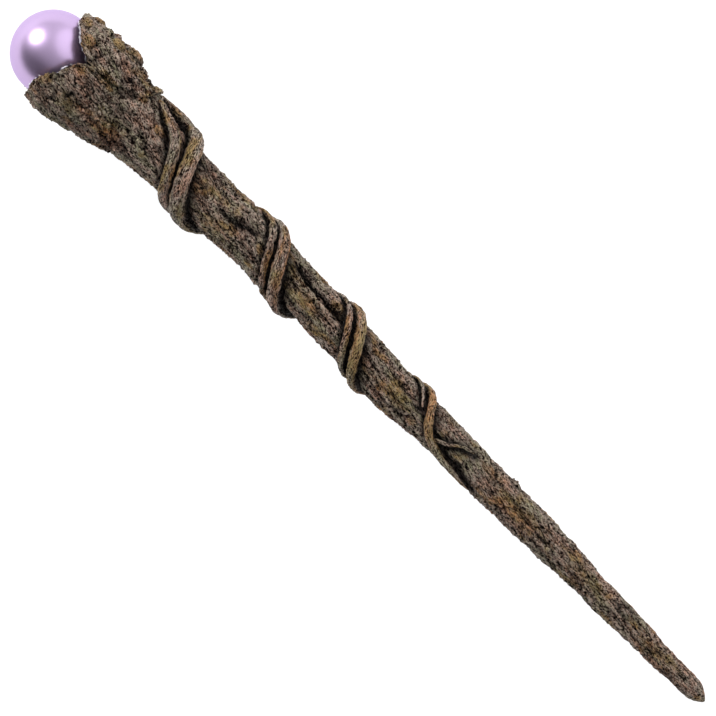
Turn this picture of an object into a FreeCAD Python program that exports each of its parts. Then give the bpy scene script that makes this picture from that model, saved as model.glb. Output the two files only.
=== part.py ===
"""Rustic magic wand: a sculpted branch on a steel core rod, wound with two vine strands, and a
pearl ball glued into a cup of bark slabs at its head. Lengths are millimetres.

Wand frame, in which every piece is built: the origin is the centre of the pearl ball, the branch
reaches along -X to its tip, and +Z is the side that faces up when the wand lies on a table. In the
tables, "at" is a distance from the ball's centre towards the tip, "across" a distance towards -Y,
and "turn" an angle round the wand: 0 on the -Y side, 90 on the upper side and 180 on the +Y side.
At the end each piece gets the Placement that lays the wand down, with the document's origin on the
table under the middle of it.
"""

import FreeCAD
import Part
import Sketcher

import bisect
import math
import os

Vector = FreeCAD.Vector
# Turns a sketch's x and y onto the wand's Y and Z.
ACROSS_WAND = FreeCAD.Rotation(0.5, 0.5, 0.5, 0.5)
RING_POINTS = 12
# Half the stretch over which a strand's direction is taken, as a part of one step.
TANGENT_REACH = 0.01

SIZES = {
    "ball_radius": 15.0,
    "glue_film": 0.4,
    "peg_hole_radius": 1.6,
    "peg_hole_floor": 8.0,
    "rod_radius": 1.5,
    "rod_start": 8.5,
    "rod_end": 286.0,
    "rod_chamfer": 0.4,
    "rod_across": 0.6,
    "slab_split": 8.0,
    "slab_reach": 26.0,
    "vine_flatness": 0.78,
    "vine_gap": 0.15,
    "strand_step": 3.0,
    "rest_lean": -3.14,
}

# Round sections of the branch.
SECTION = ("at", "radius", "across", "up")
BRANCH = [
    (13.4, 15.2, 1.3, 0.0),
    (20.0, 15.3, 1.8, 0.0),
    (27.0, 14.2, 1.9, 0.2),
    (35.0, 12.9, 2.1, 0.3),
    (44.0, 11.6, 2.1, 0.3),
    (56.0, 10.6, 2.0, 0.0),
    (72.0, 10.1, 1.8, -0.3),
    (90.0, 9.5, 2.2, 0.0),
    (108.0, 9.2, 2.0, 0.4),
    (128.0, 8.5, 1.7, 0.3),
    (146.0, 8.4, 1.3, 0.0),
    (163.0, 8.3, 0.2, -0.2),
    (180.0, 7.3, 0.9, -0.2),
    (196.0, 7.0, 0.7, 0.0),
    (222.0, 6.8, 0.8, 0.2),
    (246.0, 6.0, 0.7, 0.0),
    (262.0, 5.3, 0.3, 0.0),
    (276.0, 5.0, 0.4, 0.1),
    (290.0, 4.4, 0.1, 0.0),
    (303.0, 3.9, 0.0, 0.0),
    (310.0, 3.3, -0.2, 0.0),
    (313.8, 1.6, -0.3, 0.0),
]

# Round sections of the flared head that the bark slabs are cut from.
HEAD = [
    (-3.4, 16.4, 0.6, 0.0),
    (1.0, 18.0, 0.8, 0.0),
    (6.0, 18.6, 0.9, 0.0),
    (12.0, 18.6, 1.0, 0.0),
    (19.0, 17.8, 1.8, 0.0),
    (26.0, 16.1, 1.9, 0.2),
    (33.0, 14.5, 2.0, 0.3),
    (41.0, 12.9, 2.1, 0.3),
]

# Ragged outlines of the slabs, seen from above. The lower and the upper slab meet along the crack
# below the notch.
CORNER = ("at", "across")
CRACK = [(11.8, 5.8), (23.0, 6.4)]
LOWER_RIM = [
    (3.4, -24.0),
    (3.0, -17.0),
    (1.8, -11.7),
    (3.6, -7.7),
    (6.6, -2.9),
    (8.4, 2.6),
    (10.4, 4.8),
]
LOWER_BACK = [(28.0, 3.6), (31.0, -1.5), (33.0, -5.0), (38.0, -8.5), (40.0, -24.0)]
UPPER_RIM = [(-1.6, 24.0), (-1.2, 14.2), (1.6, 12.0), (4.8, 8.9), (7.4, 7.6)]
UPPER_BACK = [(28.5, 9.6), (31.5, 9.2), (35.0, 13.5), (37.0, 24.0)]
REAR_RIM = [(0.4, -24.0), (-1.6, -9.0), (2.8, -3.6), (3.4, 2.2), (-0.8, 8.4), (-2.2, 24.0)]
REAR_BACK = [(32.0, 24.0), (36.5, 9.0), (31.5, 0.5), (37.5, -8.0), (34.0, -24.0)]
SLABS = {
    "bark_slab_lower": LOWER_RIM + CRACK + LOWER_BACK,
    "bark_slab_upper": UPPER_RIM + CRACK + UPPER_BACK,
    "bark_slab_rear": REAR_RIM + REAR_BACK,
}

# Where each strand winds.
WINDING = ("turn", "at", "radius")
STRANDS = {
    "vine_thick": [
        (-14, 36.0, 1.3),
        (-6, 44.0, 2.6),
        (0, 53.0, 2.9),
        (90, 61.5, 2.8),
        (180, 71.6, 2.9),
        (360, 96.8, 2.1),
        (450, 106.4, 2.3),
        (540, 115.6, 2.1),
        (720, 135.6, 1.9),
        (810, 144.8, 1.9),
        (900, 152.8, 1.6),
        (1080, 172.3, 1.5),
        (1152, 178.1, 1.5),
        (1194, 183.0, 1.5),
        (1210, 187.4, 1.5),
        (1218, 192.0, 1.5),
        (1223, 197.4, 1.3),
        (1230, 202.0, 0.9),
        (1236, 205.5, 0.5),
    ],
    "vine_thin": [
        (22, 37.0, 1.0),
        (42, 45.5, 1.8),
        (58, 50.6, 2.0),
        (88, 55.0, 1.9),
        (180, 64.4, 2.1),
        (360, 91.4, 1.3),
        (450, 101.0, 1.25),
        (540, 109.8, 1.2),
        (720, 130.0, 1.15),
        (810, 139.2, 1.2),
        (900, 147.6, 1.0),
        (1080, 167.6, 0.85),
        (1152, 174.6, 0.4),
    ],
    "tendril": [
        (112, 185.0, 0.7),
        (97, 189.4, 0.6),
        (80, 192.2, 0.55),
        (67, 195.0, 0.45),
        (60, 198.5, 0.3),
    ],
}

# Burls on the slabs. Each stands "proud" of its slab; "stretch" is its length over its width.
BURL = ("turn", "at", "radius", "proud", "stretch")
BURLS = [
    (36, 1.6, 2.9, 1.6, 1.0),
    (55, 6.4, 3.1, 1.8, 1.0),
    (12, 4.2, 2.6, 1.2, 1.2),
    (25, 14.2, 3.6, 1.7, 1.0),
    (10, 20.6, 3.4, 1.9, 1.35),
    (249, 11.0, 3.4, 1.9, 1.2),
    (291, 11.0, 3.4, 1.9, 1.2),
]


def fill_sheet(doc):
    """The spreadsheet of driving dimensions. A table's row i has one alias for each column, such
    as branch_at_0."""
    names = dict(SIZES)
    tables = {"branch": (SECTION, BRANCH), "head": (SECTION, HEAD), "burl": (BURL, BURLS)}
    tables.update({name: (WINDING, rows) for name, rows in STRANDS.items()})
    tables.update({name: (CORNER, rows) for name, rows in SLABS.items()})
    for table, (columns, rows) in tables.items():
        for i, row in enumerate(rows):
            names.update({f"{table}_{column}_{i}": value for column, value in zip(columns, row)})
    sheet = doc.addObject("Spreadsheet::Sheet", "Sizes")
    for line, (name, value) in enumerate(names.items(), start=1):
        sheet.set(f"A{line}", name)
        sheet.set(f"B{line}", str(value))
        sheet.setAlias(f"B{line}", name)
    doc.recompute()
    return sheet


def read_rows(sheet, table, columns, count):
    """One table back from the sheet, a tuple for each row."""
    return [
        tuple(float(sheet.get(f"{table}_{column}_{i}")) for column in columns)
        for i in range(count)
    ]


def ring(doc, table, i):
    """A round section across the wand, bound to row i of its table."""
    sketch = doc.addObject("Sketcher::SketchObject", f"{table}_ring_{i}")
    sketch.addGeometry(Part.Circle(Vector(0, 0, 0), Vector(0, 0, 1), 1), False)
    sketch.addConstraint(Sketcher.Constraint("Coincident", 0, 3, -1, 1))
    sketch.addConstraint(Sketcher.Constraint("Radius", 0, 1))
    sketch.setExpression("Constraints[1]", f"Sizes.{table}_radius_{i}")
    sketch.Placement = FreeCAD.Placement(Vector(0, 0, 0), ACROSS_WAND)
    sketch.setExpression("Placement.Base.x", f"-Sizes.{table}_at_{i}")
    sketch.setExpression("Placement.Base.y", f"-Sizes.{table}_across_{i}")
    sketch.setExpression("Placement.Base.z", f"Sizes.{table}_up_{i}")
    return sketch


def loft(doc, table, count):
    """A solid through one table's round sections."""
    made = doc.addObject("Part::Loft", f"{table}_blank")
    made.Sections = [ring(doc, table, i) for i in range(count)]
    made.Solid = True
    return made


def cut(doc, name, base, *tools):
    """base less every tool, one Part::Cut after another. The last one carries the name."""
    for i, tool in enumerate(tools, start=1):
        step = doc.addObject("Part::Cut", name if i == len(tools) else f"{name}_cut_{i}")
        step.Base = base
        step.Tool = tool
        base = step
    return base


def sphere(doc, name, radius):
    made = doc.addObject("Part::Sphere", name)
    made.setExpression("Radius", radius)
    return made


def rod_blank(doc, name):
    """The space of the core rod, from its peg end to its end in the branch."""
    made = doc.addObject("Part::Cylinder", name)
    made.setExpression("Radius", "Sizes.rod_radius")
    made.setExpression("Height", "Sizes.rod_end - Sizes.rod_start")
    made.Placement = FreeCAD.Placement(Vector(0, 0, 0), FreeCAD.Rotation(Vector(0, 1, 0), -90))
    made.setExpression("Placement.Base.x", "-Sizes.rod_start")
    made.setExpression("Placement.Base.y", "-Sizes.rod_across")
    return made


def plane_of(body, role):
    return next(feature for feature in body.Origin.OriginFeatures if feature.Role == role)


def rod_circle(body, name, radius, offset):
    """A circle on the rod's centre line, in the body's YZ plane moved along X by offset."""
    sketch = body.newObject("Sketcher::SketchObject", name)
    sketch.AttachmentSupport = (plane_of(body, "YZ_Plane"), [""])
    sketch.MapMode = "FlatFace"
    sketch.addGeometry(Part.Circle(Vector(-1, 0, 0), Vector(0, 0, 1), 1), False)
    sketch.addConstraint(Sketcher.Constraint("DistanceX", 0, 3, -1, 1, 1))
    sketch.addConstraint(Sketcher.Constraint("PointOnObject", 0, 3, -1))
    sketch.addConstraint(Sketcher.Constraint("Radius", 0, 1))
    sketch.setExpression("Constraints[0]", "Sizes.rod_across")
    sketch.setExpression("Constraints[2]", radius)
    sketch.setExpression("AttachmentOffset.Base.z", offset)
    return sketch


def core_rod(doc):
    """The steel rod inside the branch. Its head end stands out of the dish as the peg that the
    ball sits on."""
    body = doc.addObject("PartDesign::Body", "core_rod")
    pad = body.newObject("PartDesign::Pad", "rod_pad")
    pad.Profile = rod_circle(body, "rod_section", "Sizes.rod_radius", "-Sizes.rod_end")
    pad.setExpression("Length", "Sizes.rod_end - Sizes.rod_start")
    body.Tip = pad
    doc.recompute()
    chamfer = body.newObject("PartDesign::Chamfer", "rod_ends")
    edges = enumerate(pad.Shape.Edges, start=1)
    rims = [f"Edge{i}" for i, edge in edges if isinstance(edge.Curve, Part.Circle)]
    chamfer.Base = (pad, rims)
    chamfer.setExpression("Size", "Sizes.rod_chamfer")
    body.Tip = chamfer
    return body


def pearl_ball(doc):
    """The ball: a half disc turned about the wand's axis, then half-drilled for the peg."""
    body = doc.addObject("PartDesign::Body", "pearl_ball")
    profile = body.newObject("Sketcher::SketchObject", "ball_profile")
    profile.AttachmentSupport = (plane_of(body, "XY_Plane"), [""])
    profile.MapMode = "FlatFace"
    radius = SIZES["ball_radius"]
    outline = Part.Circle(Vector(0, 0, 0), Vector(0, 0, 1), radius)
    profile.addGeometry(Part.ArcOfCircle(outline, 0, math.pi), False)
    profile.addGeometry(Part.LineSegment(Vector(-radius, 0, 0), Vector(radius, 0, 0)), False)
    profile.addConstraint(Sketcher.Constraint("Coincident", 0, 3, -1, 1))
    profile.addConstraint(Sketcher.Constraint("Radius", 0, radius))
    profile.addConstraint(Sketcher.Constraint("Coincident", 0, 2, 1, 1))
    profile.addConstraint(Sketcher.Constraint("Coincident", 0, 1, 1, 2))
    profile.addConstraint(Sketcher.Constraint("Horizontal", 1))
    profile.setExpression("Constraints[1]", "Sizes.ball_radius")
    turned = body.newObject("PartDesign::Revolution", "ball_turned")
    turned.Profile = profile
    turned.ReferenceAxis = (profile, ["H_Axis"])
    turned.Angle = 360.0
    body.Tip = turned
    doc.recompute()
    drilled = body.newObject("PartDesign::Pocket", "peg_hole")
    drilled.Profile = rod_circle(
        body, "peg_hole_section", "Sizes.peg_hole_radius", "-Sizes.peg_hole_floor"
    )
    drilled.setExpression("Length", "Sizes.ball_radius")
    body.Tip = drilled
    doc.recompute()
    if drilled.Shape.Volume >= turned.Shape.Volume:
        raise RuntimeError("the peg hole cuts nothing")
    return body


def prism(doc, name, count, bottom, height):
    """A slab's ragged outline, raised between two heights."""
    sketch = doc.addObject("Sketcher::SketchObject", f"{name}_outline")
    corners = [Vector(-at, -across, 0) for at, across in SLABS[name]]
    for start, end in zip(corners, corners[1:] + corners[:1]):
        sketch.addGeometry(Part.LineSegment(start, end), False)
    for i in range(count):
        sketch.addConstraint(Sketcher.Constraint("Coincident", i, 2, (i + 1) % count, 1))
    for i, corner in enumerate(corners):
        for kind, column, place in (("DistanceX", "at", corner.x), ("DistanceY", "across", corner.y)):
            made = sketch.addConstraint(Sketcher.Constraint(kind, -1, 1, i, 1, place))
            sketch.setExpression(f"Constraints[{made}]", f"-Sizes.{name}_{column}_{i}")
    sketch.setExpression("Placement.Base.z", bottom)
    raised = doc.addObject("Part::Extrusion", f"{name}_prism")
    raised.Base = sketch
    raised.Dir = Vector(0, 0, 1)
    raised.DirMode = "Custom"
    raised.Solid = True
    raised.setExpression("LengthFwd", height)
    return raised


def slab_prisms(doc):
    """The space inside each slab's outline. The rear slab lies below the split, the other two
    above it."""
    above = ("-Sizes.slab_split", "Sizes.slab_reach + Sizes.slab_split")
    below = ("-Sizes.slab_reach", "Sizes.slab_reach - Sizes.slab_split")
    return {
        name: prism(doc, name, len(outline), *(below if name == "bark_slab_rear" else above))
        for name, outline in SLABS.items()
    }


def bark_slabs(doc, prisms, head, branch, socket, strands):
    """The three slabs of bark round the ball: the shell of the head outside the branch and the
    ball, split by outline, and hollowed underneath where they cover the starts of the strands."""
    shell = cut(doc, "head_shell", head, branch, socket)
    slabs = []
    for name, space in prisms.items():
        whole = doc.addObject("Part::Common", f"{name}_whole")
        whole.Base = shell
        whole.Tool = space
        slabs.append(cut(doc, name, whole, *strands))
    return slabs


def ball_glue(doc, prisms, socket, rod):
    """The bed of clear glue: the film between the ball and its dish and slabs, out to the edges of
    the slabs."""
    film = cut(doc, "glue_shell", socket, sphere(doc, "ball_space", "Sizes.ball_radius"), rod)
    covered = doc.addObject("Part::MultiFuse", "glue_cover")
    covered.Shapes = list(prisms.values())
    bed = doc.addObject("Part::Common", "ball_glue")
    bed.Base = film
    bed.Tool = covered
    return bed


def smooth_through(points):
    """A function that passes smoothly through (place, value) points, by Catmull-Rom slopes."""
    places, values = zip(*points)
    last = len(places) - 1
    slopes = []
    for i in range(last + 1):
        before, after = max(i - 1, 0), min(i + 1, last)
        slopes.append((values[after] - values[before]) / (places[after] - places[before]))

    def value(place):
        i = min(max(bisect.bisect_right(places, place) - 1, 0), last - 1)
        span = places[i + 1] - places[i]
        t = min(max((place - places[i]) / span, 0.0), 1.0)
        rise = t * t * (3 - 2 * t)
        start_slope = span * slopes[i] * t * (1 - t) ** 2
        end_slope = span * slopes[i + 1] * t * t * (1 - t)
        return values[i] * (1 - rise) + values[i + 1] * rise + start_slope - end_slope

    return value


def along(rows, place, value):
    """A smooth function of one column of a table, giving another column."""
    return smooth_through([(row[place], row[value]) for row in rows])


def strand_route(rows, branch_rows, flatness, gap):
    """The centre line and the half width of a strand that lies on the branch, as functions of the
    distance along it, and its length."""
    branch_radius, across_of, up_of = (along(branch_rows, 0, column) for column in (1, 2, 3))
    places = [0.0]
    for before, after in zip(rows, rows[1:]):
        wound = math.radians(after[0] - before[0]) * branch_radius(after[1])
        places.append(places[-1] + math.hypot(wound, after[1] - before[1]))
    turn_of, at_of, radius_of = (smooth_through(list(zip(places, values))) for values in zip(*rows))

    def centre(place):
        at = at_of(place)
        angle = math.radians(turn_of(place))
        out = branch_radius(at) + gap + flatness * radius_of(place)
        return Vector(-at, -across_of(at) - out * math.cos(angle), up_of(at) + out * math.sin(angle))

    return centre, radius_of, places[-1]


def strand_ring(middle, ahead, radius, flatness):
    """A many-sided ellipse across a strand at middle."""
    sideways = ahead.cross(Vector(0, middle.y, middle.z)).normalize()
    outward = sideways.cross(ahead).normalize()
    points = []
    for k in range(RING_POINTS):
        angle = 2 * math.pi * k / RING_POINTS
        offset = sideways * math.sin(angle) - outward * (flatness * math.cos(angle))
        points.append(middle + offset * radius)
    return Part.makePolygon(points + points[:1])


def strand_solid(rows, branch_rows, flatness, gap, step):
    """A strand wound round the branch, lofted through rings across its route."""
    centre, radius_of, length = strand_route(rows, branch_rows, flatness, gap)
    count = math.ceil(length / step)
    near = length / count * TANGENT_REACH
    rings = []
    for i in range(count + 1):
        place = length * i / count
        ahead = (centre(min(place + near, length)) - centre(max(place - near, 0.0))).normalize()
        rings.append(strand_ring(centre(place), ahead, radius_of(place), flatness))
    return Part.makeLoft(rings, True, True)


def strand(doc, sheet, name):
    """One strand's solid, read from the sheet, and a copy of it that stays in the wand frame as a
    cutting tool."""
    branch_rows = read_rows(sheet, "branch", SECTION, len(BRANCH))
    winding = read_rows(sheet, name, WINDING, len(STRANDS[name]))
    keys = ("vine_flatness", "vine_gap", "strand_step")
    flatness, gap, step = (float(sheet.get(key)) for key in keys)
    piece = doc.addObject("Part::Feature", name)
    piece.Shape = strand_solid(winding, branch_rows, flatness, gap, step)
    space = doc.addObject("Part::Feature", f"{name}_space")
    space.Shape = piece.Shape.copy()
    return piece, space


def burl(doc, i, row, head_rows):
    """One burl: an ellipsoid whose centre lies under the slab's surface, its long axis along the
    wand."""
    turn, at, radius, proud, stretch = row
    head_radius, head_across, head_up = (along(head_rows, 0, column) for column in (1, 2, 3))
    out = head_radius(at) - radius + proud
    angle = math.radians(turn)
    made = doc.addObject("Part::Ellipsoid", f"burl_{i}")
    made.setExpression("Radius1", f"Sizes.burl_radius_{i}")
    made.setExpression("Radius2", f"Sizes.burl_radius_{i} * Sizes.burl_stretch_{i}")
    made.setExpression("Radius3", f"Sizes.burl_radius_{i}")
    made.Placement.Base = Vector(
        -at, -head_across(at) - out * math.cos(angle), head_up(at) + out * math.sin(angle)
    )
    return made


def rim_burls(doc, sheet, head):
    """The burls, a group of separate solids, each hollowed underneath where it lies on its slab."""
    head_rows = read_rows(sheet, "head", SECTION, len(HEAD))
    rows = read_rows(sheet, "burl", BURL, len(BURLS))
    group = doc.addObject("Part::Compound", "burl_group")
    group.Links = [burl(doc, i, row, head_rows) for i, row in enumerate(rows)]
    return cut(doc, "rim_burls", group, head)


def lay_down(doc, sheet, pieces):
    """Leans the wand until head and tip touch the table, then puts the origin under the middle of
    its box."""
    turn = FreeCAD.Rotation(Vector(0, 1, 0), float(sheet.get("rest_lean")))
    leaned = FreeCAD.Placement(Vector(0, 0, 0), turn)
    box = FreeCAD.BoundBox()
    for piece in pieces:
        shape = piece.Shape.copy()
        shape.Placement = leaned * shape.Placement
        box.add(shape.optimalBoundingBox(False, False))
    middle = Vector(box.Center.x, box.Center.y, box.ZMin)
    for piece in pieces:
        piece.Placement = FreeCAD.Placement(-middle, turn) * piece.Placement
    doc.recompute()


def check_document(doc):
    for thing in doc.Objects:
        if "Invalid" in thing.State or "Error" in thing.State:
            raise RuntimeError(f"{thing.Name} failed: {thing.State}")


def write_steps(pieces):
    for piece in pieces:
        shape = piece.Shape
        if shape.isNull() or not shape.isValid() or shape.Volume <= 0:
            raise RuntimeError(f"{piece.Label} has no valid solid")
    os.makedirs("parts", exist_ok=True)
    for piece in pieces:
        piece.Shape.exportStep(f"parts/{piece.Label}.step")
        print(f"{piece.Label}: {len(piece.Shape.Solids)} solids, {piece.Shape.Volume:.1f} mm3")


def main():
    doc = FreeCAD.newDocument("magic_wand")
    sheet = fill_sheet(doc)
    branch = loft(doc, "branch", len(BRANCH))
    head = loft(doc, "head", len(HEAD))
    socket = sphere(doc, "socket_space", "Sizes.ball_radius + Sizes.glue_film")
    rod = rod_blank(doc, "rod_bore")
    thick, thick_space = strand(doc, sheet, "vine_thick")
    thin, thin_space = strand(doc, sheet, "vine_thin")
    _, tendril_space = strand(doc, sheet, "tendril")
    prisms = slab_prisms(doc)
    pieces = [
        core_rod(doc),
        cut(doc, "branch_shaft", branch, socket, rod),
        ball_glue(doc, prisms, socket, rod),
        pearl_ball(doc),
        *bark_slabs(doc, prisms, head, branch, socket, (thick_space, thin_space)),
        rim_burls(doc, sheet, head),
        thick,
        thin,
        cut(doc, "vine_tendril", tendril_space, thick_space),
    ]
    doc.recompute()
    check_document(doc)
    lay_down(doc, sheet, pieces)
    check_document(doc)
    write_steps(pieces)


main()
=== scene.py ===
"""The looks of the rustic magic wand.

Lengths in the tables are millimetres in the wand frame of the CAD model: "at" is a distance from
the ball's centre towards the tip, "across" a distance towards -Y, and "turn" an angle in degrees
round the wand, 0 on the -Y side and 90 on the upper side. Meshes are built in that frame, and then
laid down in metres.
"""

import math
from itertools import product

import bmesh
import bpy
import numpy as np
from mathutils import Matrix, Vector
from mathutils.bvhtree import BVHTree
from mathutils.kdtree import KDTree

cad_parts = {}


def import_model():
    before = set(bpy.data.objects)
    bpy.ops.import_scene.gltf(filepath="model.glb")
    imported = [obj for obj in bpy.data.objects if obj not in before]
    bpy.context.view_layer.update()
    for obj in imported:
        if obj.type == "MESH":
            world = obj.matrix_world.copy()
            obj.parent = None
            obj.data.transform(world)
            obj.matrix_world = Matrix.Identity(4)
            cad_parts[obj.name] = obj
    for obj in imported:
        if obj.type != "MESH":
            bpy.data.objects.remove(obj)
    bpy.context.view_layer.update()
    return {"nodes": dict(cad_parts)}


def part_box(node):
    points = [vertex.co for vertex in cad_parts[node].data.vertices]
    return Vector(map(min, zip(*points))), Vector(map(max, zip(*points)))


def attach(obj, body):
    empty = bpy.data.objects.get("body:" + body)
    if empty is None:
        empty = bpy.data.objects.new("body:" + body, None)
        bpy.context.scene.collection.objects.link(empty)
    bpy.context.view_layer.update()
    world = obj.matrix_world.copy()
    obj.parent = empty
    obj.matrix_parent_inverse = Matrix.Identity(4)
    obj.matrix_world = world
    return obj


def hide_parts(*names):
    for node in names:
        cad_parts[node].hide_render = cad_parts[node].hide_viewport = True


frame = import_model()

MM = 0.001
LEAN = math.radians(-3.14)
BALL_RADIUS = 15.0

# Where each vine strand winds: turn, at, half width.
STRANDS = {
    "vine_thick": [
        (-14, 36.0, 1.3),
        (-6, 44.0, 2.6),
        (0, 53.0, 2.9),
        (90, 61.5, 2.8),
        (180, 71.6, 2.9),
        (360, 96.8, 2.1),
        (450, 106.4, 2.3),
        (540, 115.6, 2.1),
        (720, 135.6, 1.9),
        (810, 144.8, 1.9),
        (900, 152.8, 1.6),
        (1080, 172.3, 1.5),
        (1152, 178.1, 1.5),
        (1194, 183.0, 1.5),
        (1210, 187.4, 1.5),
        (1218, 192.0, 1.5),
        (1223, 197.4, 1.3),
        (1230, 202.0, 0.9),
        (1236, 205.5, 0.5),
    ],
    "vine_thin": [
        (22, 37.0, 1.0),
        (42, 45.5, 1.8),
        (58, 50.6, 2.0),
        (88, 55.0, 1.9),
        (180, 64.4, 2.1),
        (360, 91.4, 1.3),
        (450, 101.0, 1.25),
        (540, 109.8, 1.2),
        (720, 130.0, 1.15),
        (810, 139.2, 1.2),
        (900, 147.6, 1.0),
        (1080, 167.6, 0.85),
        (1152, 174.6, 0.4),
    ],
    "vine_tendril": [
        (112, 185.0, 0.7),
        (97, 189.4, 0.6),
        (80, 192.2, 0.55),
        (67, 195.0, 0.45),
        (60, 198.5, 0.3),
    ],
}
FLATNESS = 0.78


# ---------------------------------------------------------------- the wand frame

def wand_matrix():
    """Takes the wand frame to the scene: millimetres to metres, leaned, and moved to the ball."""
    low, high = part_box("pearl_ball")
    place = Matrix.Translation((low + high) / 2)
    return place @ Matrix.Rotation(LEAN, 4, "Y") @ Matrix.Scale(MM, 4)


WAND = wand_matrix()
TO_WAND = WAND.inverted()


def node_points(node):
    """A CAD node's vertices in the wand frame."""
    mesh = frame["nodes"][node].data
    co = np.empty(len(mesh.vertices) * 3)
    mesh.vertices.foreach_get("co", co)
    return transform(co.reshape(-1, 3), TO_WAND)


def transform(points, matrix):
    m = np.array(matrix)
    return points @ m[:3, :3].T + m[:3, 3]


# ---------------------------------------------------------------- noise

def perlin(points, seed=0):
    """Smooth gradient noise, about -1 to 1, at an array of points."""
    rng = np.random.default_rng(seed)
    order = rng.permutation(256)
    arrows = rng.normal(size=(256, 3))
    arrows /= np.linalg.norm(arrows, axis=1, keepdims=True)
    cell = np.floor(points).astype(int)
    inside = points - cell
    fade = inside ** 3 * (inside * (inside * 6 - 15) + 10)
    total = np.zeros(len(points))
    for corner in product((0, 1), repeat=3):
        i, j, k = (cell + corner).T & 255
        arrow = arrows[order[(order[(order[i] + j) & 255] + k) & 255]]
        weight = np.prod(np.where(corner, fade, 1 - fade), axis=1)
        total += weight * np.einsum("ij,ij->i", arrow, inside - corner)
    return total * 1.6


def fractal(points, octaves, seed=0):
    return sum(perlin(points * 2 ** i, seed + i) / 2 ** i for i in range(octaves))


def smoothstep(low, high, value):
    t = np.clip((value - low) / (high - low), 0, 1)
    return t * t * (3 - 2 * t)


def smooth_through(places, values, wanted):
    """A smooth (Catmull-Rom) curve through values at places, read at the wanted places."""
    places, values = np.asarray(places, float), np.asarray(values, float)
    last = len(places) - 1
    before = np.maximum(np.arange(last + 1) - 1, 0)
    after = np.minimum(np.arange(last + 1) + 1, last)
    slopes = (values[after] - values[before]) / (places[after] - places[before])
    i = np.clip(np.searchsorted(places, wanted, side="right") - 1, 0, last - 1)
    span = places[i + 1] - places[i]
    t = np.clip((wanted - places[i]) / span, 0, 1)
    rise = t * t * (3 - 2 * t)
    bend = span * (slopes[i] * t * (1 - t) ** 2 - slopes[i + 1] * t * t * (1 - t))
    return values[i] * (1 - rise) + values[i + 1] * rise + bend


# ---------------------------------------------------------------- shapes read from the CAD

BRANCH_START = 14.0
BRANCH_END = 313.8
TIP_DOME = 5.5  # length of the rounded tip
RAYS = 16
RAY_START = 40.0


def circle_through(points):
    """The y, z and radius of the circle that fits points in a plane across the wand best."""
    columns = np.column_stack([2 * points, np.ones(len(points))])
    y, z, rest = np.linalg.lstsq(columns, (points ** 2).sum(1), rcond=None)[0]
    return y, z, math.sqrt(rest + y ** 2 + z ** 2)


def branch_profile():
    """The branch's centre line and radius, measured on its CAD node: columns at, y, z, radius."""
    polygons = [tuple(p.vertices) for p in frame["nodes"]["branch_shaft"].data.polygons]
    tree = BVHTree.FromPolygons(node_points("branch_shaft").tolist(), polygons)
    rows = []
    for at in np.arange(BRANCH_START, BRANCH_END - 0.4, 1.0):
        hits = []
        for angle in np.linspace(0, 2 * math.pi, RAYS, endpoint=False):
            out = Vector((0, math.cos(angle), math.sin(angle)))
            hit = tree.ray_cast(Vector((-at, -1, 0)) + out * RAY_START, -out)[0]
            hits.append((hit.y, hit.z))
        rows.append((at, *circle_through(np.array(hits))))
    return np.array(rows)


PROFILE = branch_profile()


def branch_at(at):
    """The branch's centre y, centre z and radius at distances from the ball."""
    return [np.interp(at, PROFILE[:, 0], PROFILE[:, column]) for column in (1, 2, 3)]


VINE_SINK = 0.3  # how far a strand is pressed into the bark, as a part of its half width


def strand_path(name, step):
    """A vine strand's centre points, half widths, directions and distances from its start."""
    turn, at, width = np.array(STRANDS[name], float).T
    wound = np.radians(np.diff(turn)) * branch_at(at)[2][1:]
    places = np.concatenate([[0], np.cumsum(np.hypot(wound, np.diff(at)))])
    along = np.linspace(0, places[-1], int(places[-1] / step))
    turn, at, width = (smooth_through(places, values, along) for values in (turn, at, width))
    y, z, radius = branch_at(at)
    out = radius + FLATNESS * width - VINE_SINK * width
    angle = np.radians(turn)
    centres = np.column_stack([-at, y - out * np.cos(angle), z + out * np.sin(angle)])
    ahead = np.gradient(centres, axis=0)
    return centres, width, ahead / np.linalg.norm(ahead, axis=1, keepdims=True), along


# How far the groove and the painted shadow beside a strand spread, towards the tip and towards the
# head; the painted shadow reaches further towards the tip.
SHADOW_AND_GROOVE_TIPWARD = 2.3
SHADOW_AND_GROOVE_HEADWARD = 1.4


def beside_strands(points):
    """How close each point is to the edge of a strand: 1 beside it, 0 away from it."""
    paths = [strand_path(name, 0.8) for name in STRANDS]
    centres = np.concatenate([path[0] for path in paths])
    widths = np.concatenate([path[1] for path in paths])
    tree = KDTree(len(centres))
    for i, centre in enumerate(centres):
        tree.insert(centre, i)
    tree.balance()
    found = [tree.find(point) for point in points]
    gap = np.array([distance - widths[i] for _, i, distance in found])
    tipward = np.array([centre[0] for centre, _, _ in found]) > points[:, 0]
    spread = np.where(tipward, SHADOW_AND_GROOVE_TIPWARD, SHADOW_AND_GROOVE_HEADWARD)
    return np.exp(-(np.maximum(gap, 0) / spread) ** 2)


# ---------------------------------------------------------------- bark

TWIST = 0.014  # how fast the grain winds round the branch, radians per millimetre

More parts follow.
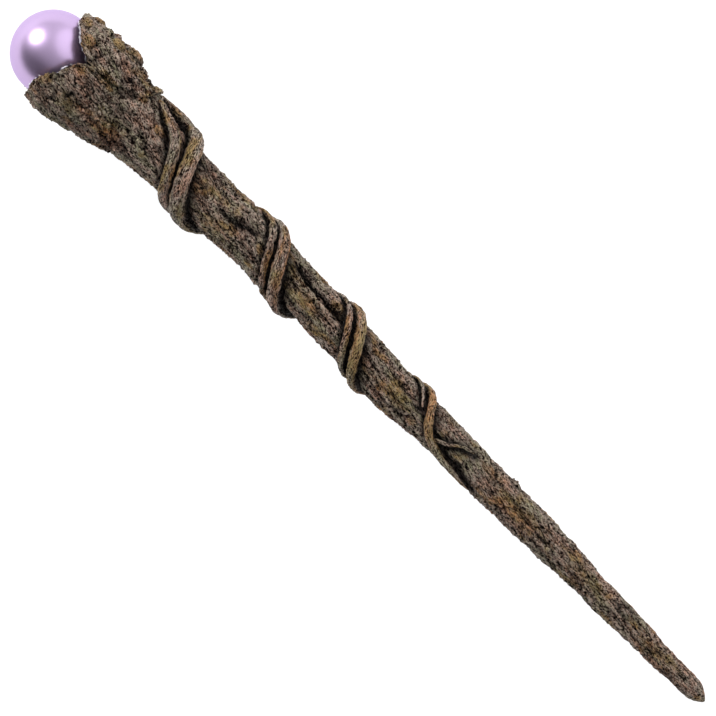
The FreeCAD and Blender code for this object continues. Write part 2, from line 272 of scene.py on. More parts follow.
# Deep furrows: at and turn of the start, at and turn of the end, half width, depth.
FURROWS = [
    (106, 45, 138, 74, 1.3, 1.5),
    (76, 93, 97, 64, 1.7, 1.4),
    (188, 112, 209, 160, 0.9, 0.7),
    (11, 73, 24, 76, 0.5, 1.0),
    (112, 150, 131, 190, 1.3, 1.1),
    (158, 55, 172, 70, 0.8, 0.9),
    (160, 128, 176, 142, 0.7, 0.8),
    (205, 60, 232, 95, 0.7, 0.8),
    (232, 130, 258, 165, 0.7, 0.6),
    (38, 92, 56, 128, 0.8, 0.8),
    (20, 112, 44, 148, 0.8, 0.8),
    (22, 50, 36, 40, 0.6, 0.8),
    (14, 98, 40, 112, 0.45, 0.7),
    (26, 80, 48, 86, 0.45, 0.6),
    (30, 136, 52, 152, 0.5, 0.6),
    (70, 106, 95, 120, 0.45, 0.6),
    (80, 60, 91, 42, 0.5, 0.7),
    (108, 84, 134, 98, 0.5, 0.8),
    (104, 118, 128, 132, 0.5, 0.6),
    (150, 112, 172, 98, 0.5, 0.8),
    (142, 70, 160, 92, 0.5, 0.7),
    (212, 75, 240, 104, 0.5, 0.6),
    (245, 60, 275, 88, 0.45, 0.5),
    (262, 112, 292, 124, 0.45, 0.5),
    (70, 215, 96, 250, 1.1, 1.0),
    (104, 265, 134, 305, 1.1, 1.1),
    (150, 210, 180, 250, 1.0, 0.9),
    (190, 280, 225, 330, 0.9, 0.8),
]

# Ridges, laid out like the furrows, with their height.
RIDGES = [
    (66, 84, 92, 35, 0.9, 0.7),
    (104, 62, 134, 92, 1.0, 0.6),
    (154, 104, 173, 88, 0.9, 0.6),
    (190, 92, 222, 70, 0.7, 0.5),
    (24, 118, 46, 100, 0.8, 0.6),
    (236, 78, 262, 98, 0.8, 0.4),
    (80, 240, 104, 275, 1.0, 0.6),
]

# Lumps: at, turn, half length, half width, height.
LUMPS = [
    (216, 8, 2.4, 2.6, 1.0),
    (36.5, 1, 2.0, 3.2, 1.1),
    (34, 14, 2.2, 3.2, 0.9),
    (62, 30, 5.0, 3.0, 0.6),
    (88, 12, 3.0, 3.0, 0.5),
    (27, 60, 3.0, 2.5, 0.6),
    (9, 130, 2.5, 3.0, 0.6),
    (17, 118, 3.0, 3.0, 0.5),
    (8.5, 38, 1.5, 1.5, 1.4),
    (11.0, 60, 1.6, 1.5, 1.3),
    (9.0, 22, 1.5, 1.8, 1.5),
    (11.5, 4, 1.8, 1.8, 1.2),
    (17.5, 46, 2.0, 1.8, 1.3),
    (17.0, 8, 1.6, 1.7, 1.2),
    (22.5, 34, 2.2, 1.8, 1.2),
    (27.0, 14, 2.4, 1.8, 1.1),
    (4.5, 138, 1.5, 1.4, 0.8),
    (8.0, 152, 1.8, 1.6, 0.7),
    (6.5, 112, 1.4, 1.6, 0.6),
    (273, 60, 4.0, 2.5, 0.5),
    (298, 150, 3.0, 2.0, 0.4),
]

# Patches of ochre and orange stain: at, turn, half length, half width, strength.
STAINS = [
    (31.5, 122, 5.5, 3.0, 1.0),
    (16.5, 124, 4.5, 2.6, 0.8),
    (11.5, 86, 2.4, 1.6, 1.0),
    (19.0, 74, 3.0, 1.6, 0.7),
    (80.0, 128, 6.0, 3.4, 0.6),
    (72.0, 70, 8.0, 1.8, 0.8),
    (121, 100, 7.0, 2.4, 1.0),
    (113, 74, 5.0, 1.0, 0.8),
    (164, 99, 7.5, 1.8, 1.0),
    (224, 96, 9.0, 3.0, 1.0),
    (208, 60, 5.0, 2.0, 0.8),
    (256, 80, 8.0, 3.0, 0.6),
    (290, 90, 9.0, 3.0, 0.7),
]

# Hollows darkened with painted shade: at, turn, half length, half width, strength.
PAINTED_SHADE_HOLLOWS = [
    (11.5, 64, 2.6, 3.0, 0.75),
    (49.5, 92, 2.6, 1.6, 0.9),
    (47.5, 70, 2.0, 1.6, 0.6),
    (24.0, 146, 8.0, 2.6, 0.5),
    (27.0, 92, 3.0, 1.4, 0.5),
]


def around_branch(points):
    """Each point's at, turn in degrees and distance from the branch's centre line."""
    at = -points[:, 0]
    y, z, _ = branch_at(at)
    across, up = y - points[:, 1], points[:, 2] - z
    return at, np.degrees(np.arctan2(up, across)), np.hypot(across, up)


def turn_gap(turn, middle):
    return (turn - middle + 180) % 360 - 180


def along_lines(lines, at, turn, radius):
    """How high the lines of a table stand, or how deep they are cut, at each point."""
    found = np.zeros(len(at))
    for start, start_turn, end, end_turn, width, size in lines:
        share = (at - start) / (end - start)
        wobble = 4 * np.sin(at / 4.3 + start) + 2 * np.sin(at / 1.7 + end)
        middle = start_turn + (end_turn - start_turn) * np.clip(share, 0, 1) + wobble
        swell = width * (1 + 0.4 * np.sin(at / 2.9 + end))
        aside = np.radians(turn_gap(turn, middle)) * radius / swell
        fade = smoothstep(0, 0.2, share) * smoothstep(1, 0.8, share)
        found = np.maximum(found, size * fade * np.exp(-aside ** 2))
    return found


def at_spots(spots, at, turn, radius):
    """The strongest spot of a table at each point."""
    found = np.zeros(len(at))
    for place, middle, length, width, size in spots:
        aside = np.radians(turn_gap(turn, middle)) * radius / width
        found = np.maximum(found, size * np.exp(-((at - place) / length) ** 2 - aside ** 2))
    return found


def stains(points, at, turn, radius):
    """Where the ochre stain shows, 0 to 1."""
    ragged = 0.35 * perlin(points / 1.9, 61) + 0.25 * perlin(points / 0.9, 62)
    wide = smoothstep(0.1, 0.6, fractal(points / (9, 5, 5), 2, 60)) * 0.8
    stain = np.maximum(wide, at_spots(STAINS, at, turn, radius))
    return np.clip(stain + ragged * (stain > 0.1), 0, 1)


def bark_relief(points):
    """Height of the bark over its smooth shape, with the attributes that its material reads.
    Each layer of noise is stretched along the grain, and the tables' details lie over them."""
    at, turn, radius = around_branch(points)
    angle = np.radians(turn) - TWIST * at
    grain = np.column_stack([at * 0.4, -radius * np.cos(angle), radius * np.sin(angle)])
    warp = np.column_stack([perlin(grain / 3.0, seed) for seed in (1, 2, 3)])
    folds = grain * (0.2, 0.36, 0.36) + 0.55 * warp
    furrow = smoothstep(0.15, 0.0, np.abs(fractal(folds, 2, 10)))
    nubs = np.abs(perlin(grain / 1.7 + 0.5 * warp, 20))
    wrinkles = np.abs(perlin(grain * (0.32, 0.85, 0.85) + 0.7 * warp, 25))
    grit = np.abs(perlin(grain * (1.8, 1, 1) / 0.8, 30))
    streaks = smoothstep(0.16, 0.0, np.abs(perlin(grain * (0.14, 0.6, 0.6) + 0.5 * warp, 26)))
    deep = along_lines(FURROWS, at, turn, radius)
    ridge = along_lines(RIDGES, at, turn, radius)
    lumps = fractal(points / 11, 2, 40)
    knobs = at_spots(LUMPS, at, turn, radius)
    feet = smoothstep(0.05, 0.2, knobs) * smoothstep(0.6, 0.3, knobs)
    hollow_shade = at_spots(PAINTED_SHADE_HOLLOWS, at, turn, radius) * (1 - smoothstep(0.1, 0.45, nubs))
    height = 0.45 * lumps - 0.85 * furrow + 0.5 * nubs + 0.6 * wrinkles + 0.45 * grit - 0.75
    height += ridge - deep + knobs - 0.4 * feet + 0.4 * streaks
    relief = 0.11 - 0.5 * furrow + 0.6 * nubs + 0.95 * wrinkles + 0.75 * grit
    stain = stains(points, at, turn, radius)
    relief += 0.3 * ridge + 0.2 * lumps - 0.6 * deep + 0.3 * streaks + 0.15 * knobs + 0.1 * stain
    return height, {
        "relief": np.clip(relief, -0.5, 1),
        "stain": stain,
        # shade is painted shade: darker in the furrows, at the feet of the knobs and in the
        # hollows.
        "shade": np.clip(0.65 * deep + 0.5 * furrow + 0.5 * feet + hollow_shade, 0, 1),
        "grain": grain,
    }


# ---------------------------------------------------------------- mesh pieces

def tube_faces(rings, sides):
    """Quads of a tube whose points lie ring after ring, then triangles to a point at each end."""
    i, j = np.meshgrid(np.arange(rings - 1), np.arange(sides), indexing="ij")
    here, beside = i * sides + j, i * sides + (j + 1) % sides
    quads = np.stack([here, beside, beside + sides, here + sides], axis=-1)
    faces = quads.reshape(-1, 4).tolist()
    first, last = rings * sides, rings * sides + 1
    end = (rings - 1) * sides
    around = [(a, (a + 1) % sides) for a in range(sides)]
    faces += [(b, a, first) for a, b in around]
    faces += [(end + a, end + b, last) for a, b in around]
    return faces


def piece(name, points, faces, attributes, material, replaced):
    """A smooth mesh object from points in the wand frame, riding on the CAD's one body."""
    mesh = bpy.data.meshes.new(name)
    mesh.from_pydata(transform(points, WAND).tolist(), [], faces)
    for key, values in attributes.items():
        kind, field = ("FLOAT_VECTOR", "vector") if values.ndim > 1 else ("FLOAT", "value")
        attribute = mesh.attributes.new(key, kind, "POINT")
        attribute.data.foreach_set(field, values.astype(np.float32).ravel())
    mesh.shade_smooth()
    made = bpy.data.objects.new(name, mesh)
    bpy.context.scene.collection.objects.link(made)
    mesh.materials.append(material)
    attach(made, "root")
    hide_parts(*replaced)
    return made


def with_ends(attributes):
    """A tube's attributes, with values for its two end points."""
    return {key: np.concatenate([values, values[[0, -1]]]) for key, values in attributes.items()}


PRESSED = 0.8  # how deep the bark is pressed in beside a strand
SLABS_END = (36, 42)  # the slabs cover the branch up to here
FINER = ([200, 300, BRANCH_END], [1.0, 0.75, 0.2])  # at, and how much of the relief is left


def branch_bark(material):
    """The branch: rings along its length, roughened into bark and pressed in beside the strands."""
    rings, sides = 812, 116
    at = np.linspace(BRANCH_START, BRANCH_END, rings)
    y, z, radius = branch_at(at)
    left = np.clip((BRANCH_END - at) / TIP_DOME, 0, 1)
    radius = radius * np.sqrt(1 - (1 - left) ** 2 * 0.97)
    angle = np.linspace(0, 2 * math.pi, sides, endpoint=False)
    smooth = np.stack(
        [
            np.repeat(-at[:, None], sides, 1),
            y[:, None] - radius[:, None] * np.cos(angle),
            z[:, None] + radius[:, None] * np.sin(angle),
        ],
        axis=-1,
    ).reshape(-1, 3)
    outward = np.tile(np.column_stack([np.zeros(sides), -np.cos(angle), np.sin(angle)]), (rings, 1))
    height, attributes = bark_relief(smooth)
    finer = np.repeat(np.interp(at, *FINER), sides)
    beside = beside_strands(smooth) * np.repeat(smoothstep(*SLABS_END, at), sides)
    points = smooth + outward * (height * finer * (1 - 0.5 * beside) - PRESSED * beside)[:, None]
    # Painted shadow: the bark beside the strands is darkened, further towards the tip.
    attributes["shade"] = np.clip(attributes["shade"] + 1.15 * beside, 0, 1)
    ends = np.array([[-BRANCH_START, y[0], z[0]], [-BRANCH_END - 0.1, y[-1], z[-1]]])
    points = np.concatenate([points, ends])
    faces = tube_faces(rings, sides)
    replaced = ["branch_shaft"]
    return piece("branch_bark", points, faces, with_ends(attributes), material, replaced)


END_TAPER = 1.6  # length over which a strand's ends close
UNDERSIDE = 1.9  # how much deeper a strand reaches into the bark than out of it
VINE_STEP = 0.35  # between the rings of a strand
OCHRE_STARTS = (110, 160)  # the thick strand turns ochre between these places
OCHRE_STOPS = (192, 182)


def vine(name, sides, material):
    """A vine strand: a flattened tube along its route, grooved, with its underside in the bark."""
    centres, width, ahead, along = strand_path(name, VINE_STEP)
    y, z, _ = branch_at(-centres[:, 0])
    radial = centres - np.column_stack([centres[:, 0], y, z])
    sideways = np.cross(ahead, radial)
    sideways /= np.linalg.norm(sideways, axis=1, keepdims=True)
    outward = np.cross(sideways, ahead)
    angle = np.linspace(0, 2 * math.pi, sides, endpoint=False)
    aside, top = np.sin(angle), np.cos(angle)
    from_end = np.minimum(along, along[-1] - along) / END_TAPER
    width = width * np.sqrt(1 - 0.98 * (1 - np.clip(from_end, 0, 1)) ** 2)
    strap = np.abs(top) ** 0.8 * np.sign(top) * np.where(top < 0, UNDERSIDE, 1.0)
    across = aside[None, :] * width[:, None]
    upward = top[None, :] * width[:, None]
    lengthwise = np.repeat(along[:, None] * 0.45, sides, 1)
    grain = np.stack([lengthwise, across, upward], axis=-1).reshape(-1, 3)
    warp = 0.6 * perlin(grain / 2.2, 70)[:, None]
    grooves = np.abs(perlin(grain * (0.55, 1.25, 1.25) + warp, 71))
    grit = np.abs(perlin(grain * (1.6, 1.3, 1.3), 72))
    lumps = perlin(grain / 1.6, 73)
    proud = (0.55 * grooves + 0.35 * grit + 0.35 * lumps - 0.3).reshape(len(along), sides)
    scale = 1 + proud * np.minimum(0.85 / width, 0.8)[:, None]
    points = (
        centres[:, None, :]
        + sideways[:, None, :] * (across * scale)[:, :, None]
        + outward[:, None, :] * (strap * width[:, None] * FLATNESS * scale)[:, :, None]
    ).reshape(-1, 3)
    edge = np.tile(smoothstep(0.55, 0.8, np.abs(aside)) * smoothstep(0.0, 0.35, top), len(along))
    # Painted shade: the strand darkens on its underside, towards the bark.
    low = np.tile(smoothstep(0.3, -0.2, top), len(along))
    at = -centres[:, 0]
    bright = smoothstep(*OCHRE_STARTS, at) * smoothstep(*OCHRE_STOPS, at)
    ochre = np.repeat(bright * (name == "vine_thick"), sides)
    patches = smoothstep(-0.3, 0.5, perlin(grain / 3, 74))
    relief = 0.15 + 0.75 * grooves + 0.5 * grit + 0.5 * edge + 0.28 * ochre
    attributes = {
        "relief": np.clip(relief, 0, 1),
        "stain": np.clip(0.8 * patches + 0.6 * ochre, 0, 1),
        "shade": low,
        "grain": grain,
    }
    points = np.concatenate([points, centres[[0, -1]]])
    faces = tube_faces(len(along), sides)
    attributes = with_ends(attributes)
    return piece(f"{name}_strand", points, faces, attributes, material, [name])


def remeshed(node, voxel):
    """A CAD node's surface as an even fine mesh: points, normals and faces in the wand frame."""
    mesh = bpy.data.meshes.new(f"{node}_fine")
    polygons = [tuple(p.vertices) for p in frame["nodes"][node].data.polygons]
    mesh.from_pydata(node_points(node).tolist(), [], polygons)
    welded = bmesh.new()
    welded.from_mesh(mesh)
    bmesh.ops.remove_doubles(welded, verts=welded.verts, dist=1e-4)
    welded.to_mesh(mesh)
    welded.free()
    holder = bpy.data.objects.new(mesh.name, mesh)
    bpy.context.scene.collection.objects.link(holder)
    remesh = holder.modifiers.new("even", "REMESH")
    remesh.mode = "VOXEL"
    remesh.voxel_size = voxel
    soften = holder.modifiers.new("soften", "SMOOTH")
    soften.factor = 0.5
    soften.iterations = 2
    ready = holder.evaluated_get(bpy.context.evaluated_depsgraph_get()).to_mesh()
    points = np.empty(len(ready.vertices) * 3)
    ready.vertices.foreach_get("co", points)
    normals = np.empty(len(ready.vertices) * 3)
    ready.vertices.foreach_get("normal", normals)
    faces = [tuple(p.vertices) for p in ready.polygons]
    bpy.data.objects.remove(holder)
    bpy.data.meshes.remove(mesh)
    return points.reshape(-1, 3), normals.reshape(-1, 3), faces


RIM_GAP = 0.2  # from the ball to the slabs
SLAB_VOXEL = 0.42
BURL_VOXEL = 0.28


def slab(node, material):
    """A slab of bark round the ball, rough outside and plain where it faces the ball."""
    points, normals, faces = remeshed(node, SLAB_VOXEL)
    height, attributes = bark_relief(points)
    clear = np.linalg.norm(points, axis=1) - BALL_RADIUS
    rough = smoothstep(0.5, 1.6, clear)
    beside = beside_strands(points)
    shade_towards_ball = smoothstep(2.4, 0.6, clear)
    # Painted shade: darker beside the strands and where the slab turns in towards the ball.
    attributes["shade"] = np.clip(attributes["shade"] + 0.7 * beside + shade_towards_ball, 0, 1)
    points = points + normals * (height * rough)[:, None]
    front = smoothstep(0.2, 0.8, normals[:, 0])
    points[:, 0] += front * (0.9 * perlin(points / 2.2, 50) + 0.4 * perlin(points / 0.9, 51) - 0.3)
    reach = np.linalg.norm(points, axis=1)
    points *= (np.maximum(reach, BALL_RADIUS + RIM_GAP) / reach)[:, None]
    return piece(f"{node}_rough", points, faces, attributes, material, [node])


def burls(material):
    """The burls on the upper slab and under the head, stained on top, with painted shade at their
    feet.
    """
    points, normals, faces = remeshed("rim_burls", BURL_VOXEL)
    height, attributes = bark_relief(points)
    lumps = np.abs(perlin(points / 2.0, 80))
    points = points + normals * (0.35 * height + 0.7 * lumps - 0.3)[:, None]
    at, _, radius = around_branch(points)
    reach = np.where(at < BRANCH_START, np.hypot(points[:, 1], points[:, 2]), radius + 1)
    top = smoothstep(18.0, 20.0, reach)
    attributes["stain"] = np.clip(attributes["stain"] * 0.5 + 0.9 * top, 0, 1)
    attributes["relief"] = np.clip(attributes["relief"] + 0.25 * top, 0, 1)
    # Painted shade: the burls darken away from their outer tops.
    attributes["shade"] = np.clip(attributes["shade"] * 0.3 + 0.6 * (1 - top), 0, 1)
    return piece("burls_rough", points, faces, attributes, material, ["rim_burls"])


NEAR = 3.0  # distances beyond this don't matter
FAR = 9.0  # and are given as this
GLUE_BAND = (0.02, 0.62)  # from the branch's side of the ball to the front, in half turns
GLUE_UNDER = 0.12  # how far the skin of glue is under the pearl's surface
GLUE_SWELL = 0.42  # how far it swells beside the slabs
GLUE_REACH = 0.35  # how far from the slabs, on average


def distance_to(made, points):
    """How far points in the wand frame are from a mesh piece."""
    mesh = made.data
    co = np.empty(len(mesh.vertices) * 3)
    mesh.vertices.foreach_get("co", co)
    polygons = [tuple(p.vertices) for p in mesh.polygons]
    tree = BVHTree.FromPolygons(transform(co.reshape(-1, 3), TO_WAND).tolist(), polygons)
    found = [tree.find_nearest(point, NEAR)[3] for point in points]
    return [FAR if distance is None else distance for distance in found]


def glue_bead(slabs, material):
    """The clear glue round the ball: a skin under the pearl's surface, which swells over it beside
    the slabs."""
    rings, sides = 150, 420
    lean = np.linspace(*GLUE_BAND, rings) * math.pi
    angle = np.linspace(0, 2 * math.pi, sides, endpoint=False)
    outward = np.stack(
        [
            np.repeat(-np.cos(lean)[:, None], sides, 1),
            -np.sin(lean)[:, None] * np.cos(angle),
            np.sin(lean)[:, None] * np.sin(angle),
        ],
        axis=-1,
    ).reshape(-1, 3)
    surface = [Vector(point) * BALL_RADIUS for point in outward.tolist()]
    near = np.min([distance_to(slab_piece, surface) for slab_piece in slabs], axis=0)
    reach = np.maximum(GLUE_REACH + 0.7 * perlin(outward * BALL_RADIUS / 1.3, 95), 0.05)
    swell = smoothstep(1.0, 0.0, (near - GLUE_REACH) / reach)
    points = outward * (BALL_RADIUS - GLUE_UNDER + GLUE_SWELL * swell)[:, None]
    ends = np.array([[-BALL_RADIUS + 0.2, 0, 0], points[-sides:].mean(axis=0)])
    points = np.concatenate([points, ends])
    return piece("glue_bead", points, tube_faces(rings, sides), {}, material, ["ball_glue"])


def pearl(material):
    """The pearl ball, with the faint unevenness of its lacquer."""
    shape = bmesh.new()
    bmesh.ops.create_icosphere(shape, subdivisions=6, radius=BALL_RADIUS)
    points = np.array([v.co for v in shape.verts])
    faces = [tuple(v.index for v in f.verts) for f in shape.faces]
    shape.free()
    points = points * (1 - 0.0006 * np.abs(perlin(points / 6, 90)))[:, None]
    return piece("pearl", points, faces, {}, material, ["pearl_ball"])


# ---------------------------------------------------------------- materials

class Nodes:
    """Short names for building a node tree."""

    def __init__(self, name):
        self.material = bpy.data.materials.new(name)
        self.material.use_nodes = True
        self.tree = self.material.node_tree
        self.shader = self.tree.nodes["Principled BSDF"]

    def add(self, kind, inputs=None, **settings):
        """A node with its inputs fed and its settings made."""
        node = self.tree.nodes.new(kind)
        for key, value in settings.items():
            setattr(node, key, value)
        for key, value in (inputs or {}).items():
            self.feed(node.inputs[key], value)
        return node

    def feed(self, socket, value):
        """Links a socket to another one, or gives it a value."""
        if isinstance(value, bpy.types.NodeSocket):
            self.tree.links.new(value, socket)
        else:
            socket.default_value = value

    def math(self, operation, *values, clamp=False):
        inputs = dict(enumerate(values))
        return self.add("ShaderNodeMath", inputs, operation=operation, use_clamp=clamp).outputs[0]

    def attribute(self, name, output="Fac"):
        return self.add("ShaderNodeAttribute", attribute_name=name).outputs[output]

    def vector(self, operation, *values):
        inputs = dict(enumerate(values))
        return self.add("ShaderNodeVectorMath", inputs, operation=operation).outputs[0]

    def noise(self, vector, scale, detail=2.0, roughness=0.5):
        inputs = {"Vector": vector, "Scale": scale, "Detail": detail, "Roughness": roughness}
        return self.add("ShaderNodeTexNoise", inputs).outputs["Fac"]

    def ramp(self, value, *stops):
        """A colour ramp through (place, colour) stops."""
        node = self.add("ShaderNodeValToRGB", {"Fac": value})
        elements = node.color_ramp.elements
        while len(elements) < len(stops):
            elements.new(1.0)
        for element, (place, colour) in zip(elements, stops):
            element.position = place
            element.color = (*colour, 1)
        return node.outputs["Color"]

    def lines(self, vector, offset, scale):
        """Thin wandering lines drawn out along the grain, 0 to 0.6."""
        drawn = self.vector("MULTIPLY", self.vector("ADD", vector, offset), (0.7, 1.0, 1.0))
        weave = self.noise(drawn, scale, 2.0, 0.6)
        level = self.math("ABSOLUTE", self.math("MULTIPLY_ADD", weave, 16.0, -8.0))
        return self.math("SUBTRACT", 0.6, level, clamp=True)

    def mix(self, share, first, second, blend="MIX"):
        node = self.add("ShaderNodeMix", data_type="RGBA", blend_type=blend)
        for socket, value in ((0, share), (6, first), (7, second)):
            self.feed(node.inputs[socket], value)
        return node.outputs[2]

    def finish(self, **inputs):
        """Feeds the shader, its sockets' names written with underscores."""
        for key, value in inputs.items():
            self.feed(self.shader.inputs[key.replace("_", " ")], value)
        return self.material


def bark_material(name, stain_gain):
    """Near-black painted shade in the furrows, hollows and beside the strands, dry-brushed
    grey-brown, with ochre patches and faint olive and pink tints."""
    nodes = Nodes(name)
    grain = nodes.attribute("grain", "Vector")
    speckle = nodes.noise(grain, 2.2, 2.0, 0.6)
    pits = nodes.noise(nodes.vector("ADD", grain, (40.0, 7.0, 13.0)), 3.4, 1.0)
    crest = nodes.lines(grain, (9.0, 31.0, 5.0), 1.0)
    hair = nodes.lines(grain, (61.0, 2.0, 17.0), 1.9)
    fine = nodes.math("MULTIPLY_ADD", pits, 4.6, -2.3)
    fine = nodes.math("MULTIPLY_ADD", speckle, 3.4, nodes.math("ADD", fine, -1.7))
    fine = nodes.math("MULTIPLY_ADD", crest, 2.2, fine)
    fine = nodes.math("MULTIPLY_ADD", hair, 2.2, nodes.math("ADD", fine, -0.35))
    tone = nodes.math("ADD", fine, nodes.attribute("relief"), clamp=True)
    brown = nodes.ramp(
        tone,
        (0.02, (0.0065, 0.0042, 0.0042)),
        (0.25, (0.057, 0.033, 0.025)),
        (0.5, (0.172, 0.108, 0.076)),
        (0.75, (0.390, 0.272, 0.202)),
        (1.0, (0.80, 0.65, 0.53)),
    )
    ochre = nodes.ramp(
        tone,
        (0.02, (0.008, 0.005, 0.002)),
        (0.25, (0.058, 0.030, 0.011)),
        (0.5, (0.215, 0.115, 0.040)),
        (1.0, (0.72, 0.46, 0.21)),
    )
    patchy = nodes.noise(grain, 0.9, 2.0)
    share = nodes.math("MULTIPLY", nodes.attribute("stain"), patchy)
    share = nodes.math("MULTIPLY", share, stain_gain, clamp=True)
    colour = nodes.mix(share, brown, ochre)
    hue = nodes.noise(nodes.vector("ADD", grain, (3.0, 50.0, 21.0)), 0.16, 5.0, 0.75)
    tint = nodes.ramp(
        hue,
        (0.38, (0.90, 0.99, 0.80)),
        (0.5, (1.02, 0.98, 0.97)),
        (0.62, (1.22, 0.91, 0.80)),
    )
    colour = nodes.mix(1.0, colour, tint, "MULTIPLY")
    # Painted shade: the shade attribute darkens the colour towards near-black.
    dark = nodes.math("MULTIPLY", nodes.attribute("shade"), 0.94, clamp=True)
    colour = nodes.mix(dark, colour, (0.0055, 0.0045, 0.0050, 1))
    rough = nodes.math("MULTIPLY_ADD", speckle, -0.3, 0.58)
    shine = nodes.math("MULTIPLY", nodes.math("MULTIPLY_ADD", dark, -0.5, tone), 0.6, clamp=True)
    bump = nodes.add("ShaderNodeBump", {"Height": fine, "Strength": 1.0, "Distance": 0.6 * MM})
    return nodes.finish(
        Base_Color=colour,
        Roughness=rough,
        Normal=bump.outputs[0],
        Specular_IOR_Level=shine,
    )


def pearl_material():
    """Lilac pearl lacquer under a clear coat."""
    nodes = Nodes("pearl_lacquer")
    place = nodes.add("ShaderNodeTexCoord").outputs["Object"]
    flakes = nodes.noise(place, 9000.0, 2.0)
    colour = nodes.ramp(flakes, (0.3, (0.52, 0.38, 0.62)), (0.7, (0.58, 0.44, 0.68)))
    return nodes.finish(
        Base_Color=colour,
        Metallic=0.85,
        Roughness=0.33,
        Specular_Tint=(0.78, 0.70, 0.90, 1),
        Coat_Weight=0.12,
        Coat_Roughness=0.12,
    )


def glue_material():
    nodes = Nodes("clear_glue")
    place = nodes.add("ShaderNodeTexCoord").outputs["Object"]
    cloud = nodes.noise(place, 400.0, 2.0)
    # A pale, opaque colour, which shows as a bright line round the ball beside the slabs.
    colour = nodes.ramp(cloud, (0.3, (0.74, 0.70, 0.80)), (0.7, (0.84, 0.81, 0.88)))
    return nodes.finish(Base_Color=colour, Roughness=0.12)


def steel_material():
    nodes = Nodes("drawn_steel")
    place = nodes.add("ShaderNodeTexCoord").outputs["Object"]
    lines = nodes.noise(place, 900.0, 3.0)
    rough = nodes.math("MULTIPLY_ADD", lines, 0.2, 0.25)
    colour = nodes.ramp(lines, (0.3, (0.48, 0.48, 0.5)), (0.7, (0.6, 0.6, 0.61)))
    return nodes.finish(Base_Color=colour, Metallic=1.0, Roughness=rough)


def dress(node, material):
    """Gives a CAD node that stays its material."""
    mesh = frame["nodes"][node].data
    mesh.materials.clear()
    mesh.materials.append(material)
    mesh.shade_smooth()


# ---------------------------------------------------------------- camera, light and floor

LENS = 400.0
FILM_WIDTH = 36.0
VIEW_WIDTH = 244.6
VIEW_CENTRE = Vector((-147.2, 0.5, 0.0))
ROLL = math.radians(44.83)


def look_matrix(eye, target, up):
    back = (eye - target).normalized()
    right = up.cross(back).normalized()
    basis = Matrix((right, back.cross(right), back)).transposed()
    return Matrix.Translation(eye) @ basis.to_4x4()


def camera():
    """Straight down on the lying wand, the ball at the upper left of the picture."""
    data = bpy.data.cameras.new("camera")
    data.lens = LENS
    data.sensor_width = FILM_WIDTH
    data.clip_end = 10
    made = bpy.data.objects.new("camera", data)
    bpy.context.scene.collection.objects.link(made)
    distance = VIEW_WIDTH * LENS / FILM_WIDTH
    turned = WAND.to_3x3().normalized()
    up = turned @ Vector((math.sin(ROLL), -math.cos(ROLL), 0))
    eye = WAND @ (VIEW_CENTRE + Vector((0, 0, distance)))
    made.matrix_world = look_matrix(eye, WAND @ VIEW_CENTRE, up)
    bpy.context.scene.camera = made


def area_light(name, direction, distance, size, power, target):
    data = bpy.data.lights.new(name, "AREA")
    data.shape = "DISK"
    data.size = size
    data.energy = power
    made = bpy.data.objects.new(name, data)
    bpy.context.scene.collection.objects.link(made)
    eye = target + Vector(direction).normalized() * distance
    made.matrix_world = look_matrix(eye, target, Vector((0, 0.01, 1)))
    made.visible_camera = False


def lights():
    middle = Vector((0, 0, 0.02))
    ball = WAND @ Vector((0, 0, 0))
    area_light("key", (0.843, 0, 0.535), 0.9, 0.28, 6.8, ball)
    area_light("side", (-0.3, -0.9, 0.7), 1.4, 2.4, 11.0, middle)


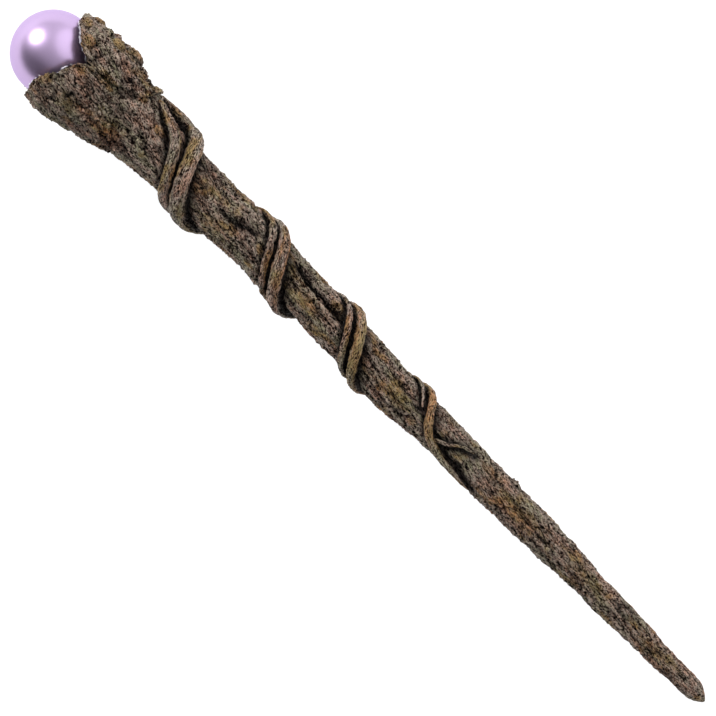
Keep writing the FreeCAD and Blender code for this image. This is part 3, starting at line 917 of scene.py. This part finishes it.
def world():
    """Even pale light that dims towards the +Y side; plain white where it is seen."""
    made = bpy.data.worlds.new("studio")
    bpy.context.scene.world = made
    made.use_nodes = True
    tree = made.node_tree
    background = tree.nodes["Background"]
    place = tree.nodes.new("ShaderNodeTexCoord")
    split = tree.nodes.new("ShaderNodeSeparateXYZ")
    share = tree.nodes.new("ShaderNodeMapRange")
    share.inputs["From Min"].default_value = -1.0
    across = tree.nodes.new("ShaderNodeValToRGB")
    levels = ((0.0, 0.95), (0.5, 0.55), (0.68, 0.42), (0.86, 0.02))
    while len(across.color_ramp.elements) < len(levels):
        across.color_ramp.elements.new(1.0)
    for element, (position, grey) in zip(across.color_ramp.elements, levels):
        element.position = position
        element.color = (grey, grey, grey, 1)
    seen = tree.nodes.new("ShaderNodeLightPath")
    choose = tree.nodes.new("ShaderNodeMix")
    choose.data_type = "RGBA"
    choose.inputs[7].default_value = (1, 1, 1, 1)
    tree.links.new(place.outputs["Generated"], split.inputs[0])
    tree.links.new(split.outputs["Y"], share.inputs["Value"])
    tree.links.new(share.outputs[0], across.inputs["Fac"])
    tree.links.new(seen.outputs["Is Camera Ray"], choose.inputs[0])
    tree.links.new(across.outputs["Color"], choose.inputs[6])
    tree.links.new(choose.outputs[2], background.inputs["Color"])


FLOOR_HALF = 30.0


def floor():
    mesh = bpy.data.meshes.new("floor")
    corners = [(x * FLOOR_HALF, y * FLOOR_HALF, 0) for x, y in ((-1, -1), (1, -1), (1, 1), (-1, 1))]
    mesh.from_pydata(corners, [], [(0, 1, 2, 3)])
    made = bpy.data.objects.new("floor", mesh)
    bpy.context.scene.collection.objects.link(made)
    nodes = Nodes("pale_floor")
    mesh.materials.append(nodes.finish(
        Base_Color=(0.3, 0.3, 0.3, 1),
        Roughness=0.9,
        Emission_Color=(1, 1, 1, 1),
        Emission_Strength=0.95,
    ))


# ---------------------------------------------------------------- the scene

def main():
    bark = bark_material("bark_stain_and_painted_shade", 2.1)
    strand = bark_material("vine_stain_and_painted_shade", 2.6)
    branch_bark(bark)
    slabs = []
    for node in ("bark_slab_lower", "bark_slab_upper", "bark_slab_rear"):
        slabs.append(slab(node, bark))
    burls(bark)
    vine("vine_thick", 40, strand)
    vine("vine_thin", 28, strand)
    vine("vine_tendril", 16, strand)
    pearl(pearl_material())
    glue_bead(slabs, glue_material())
    dress("core_rod", steel_material())
    camera()
    lights()
    world()
    floor()
    bpy.context.scene.view_settings.view_transform = "Standard"


main()
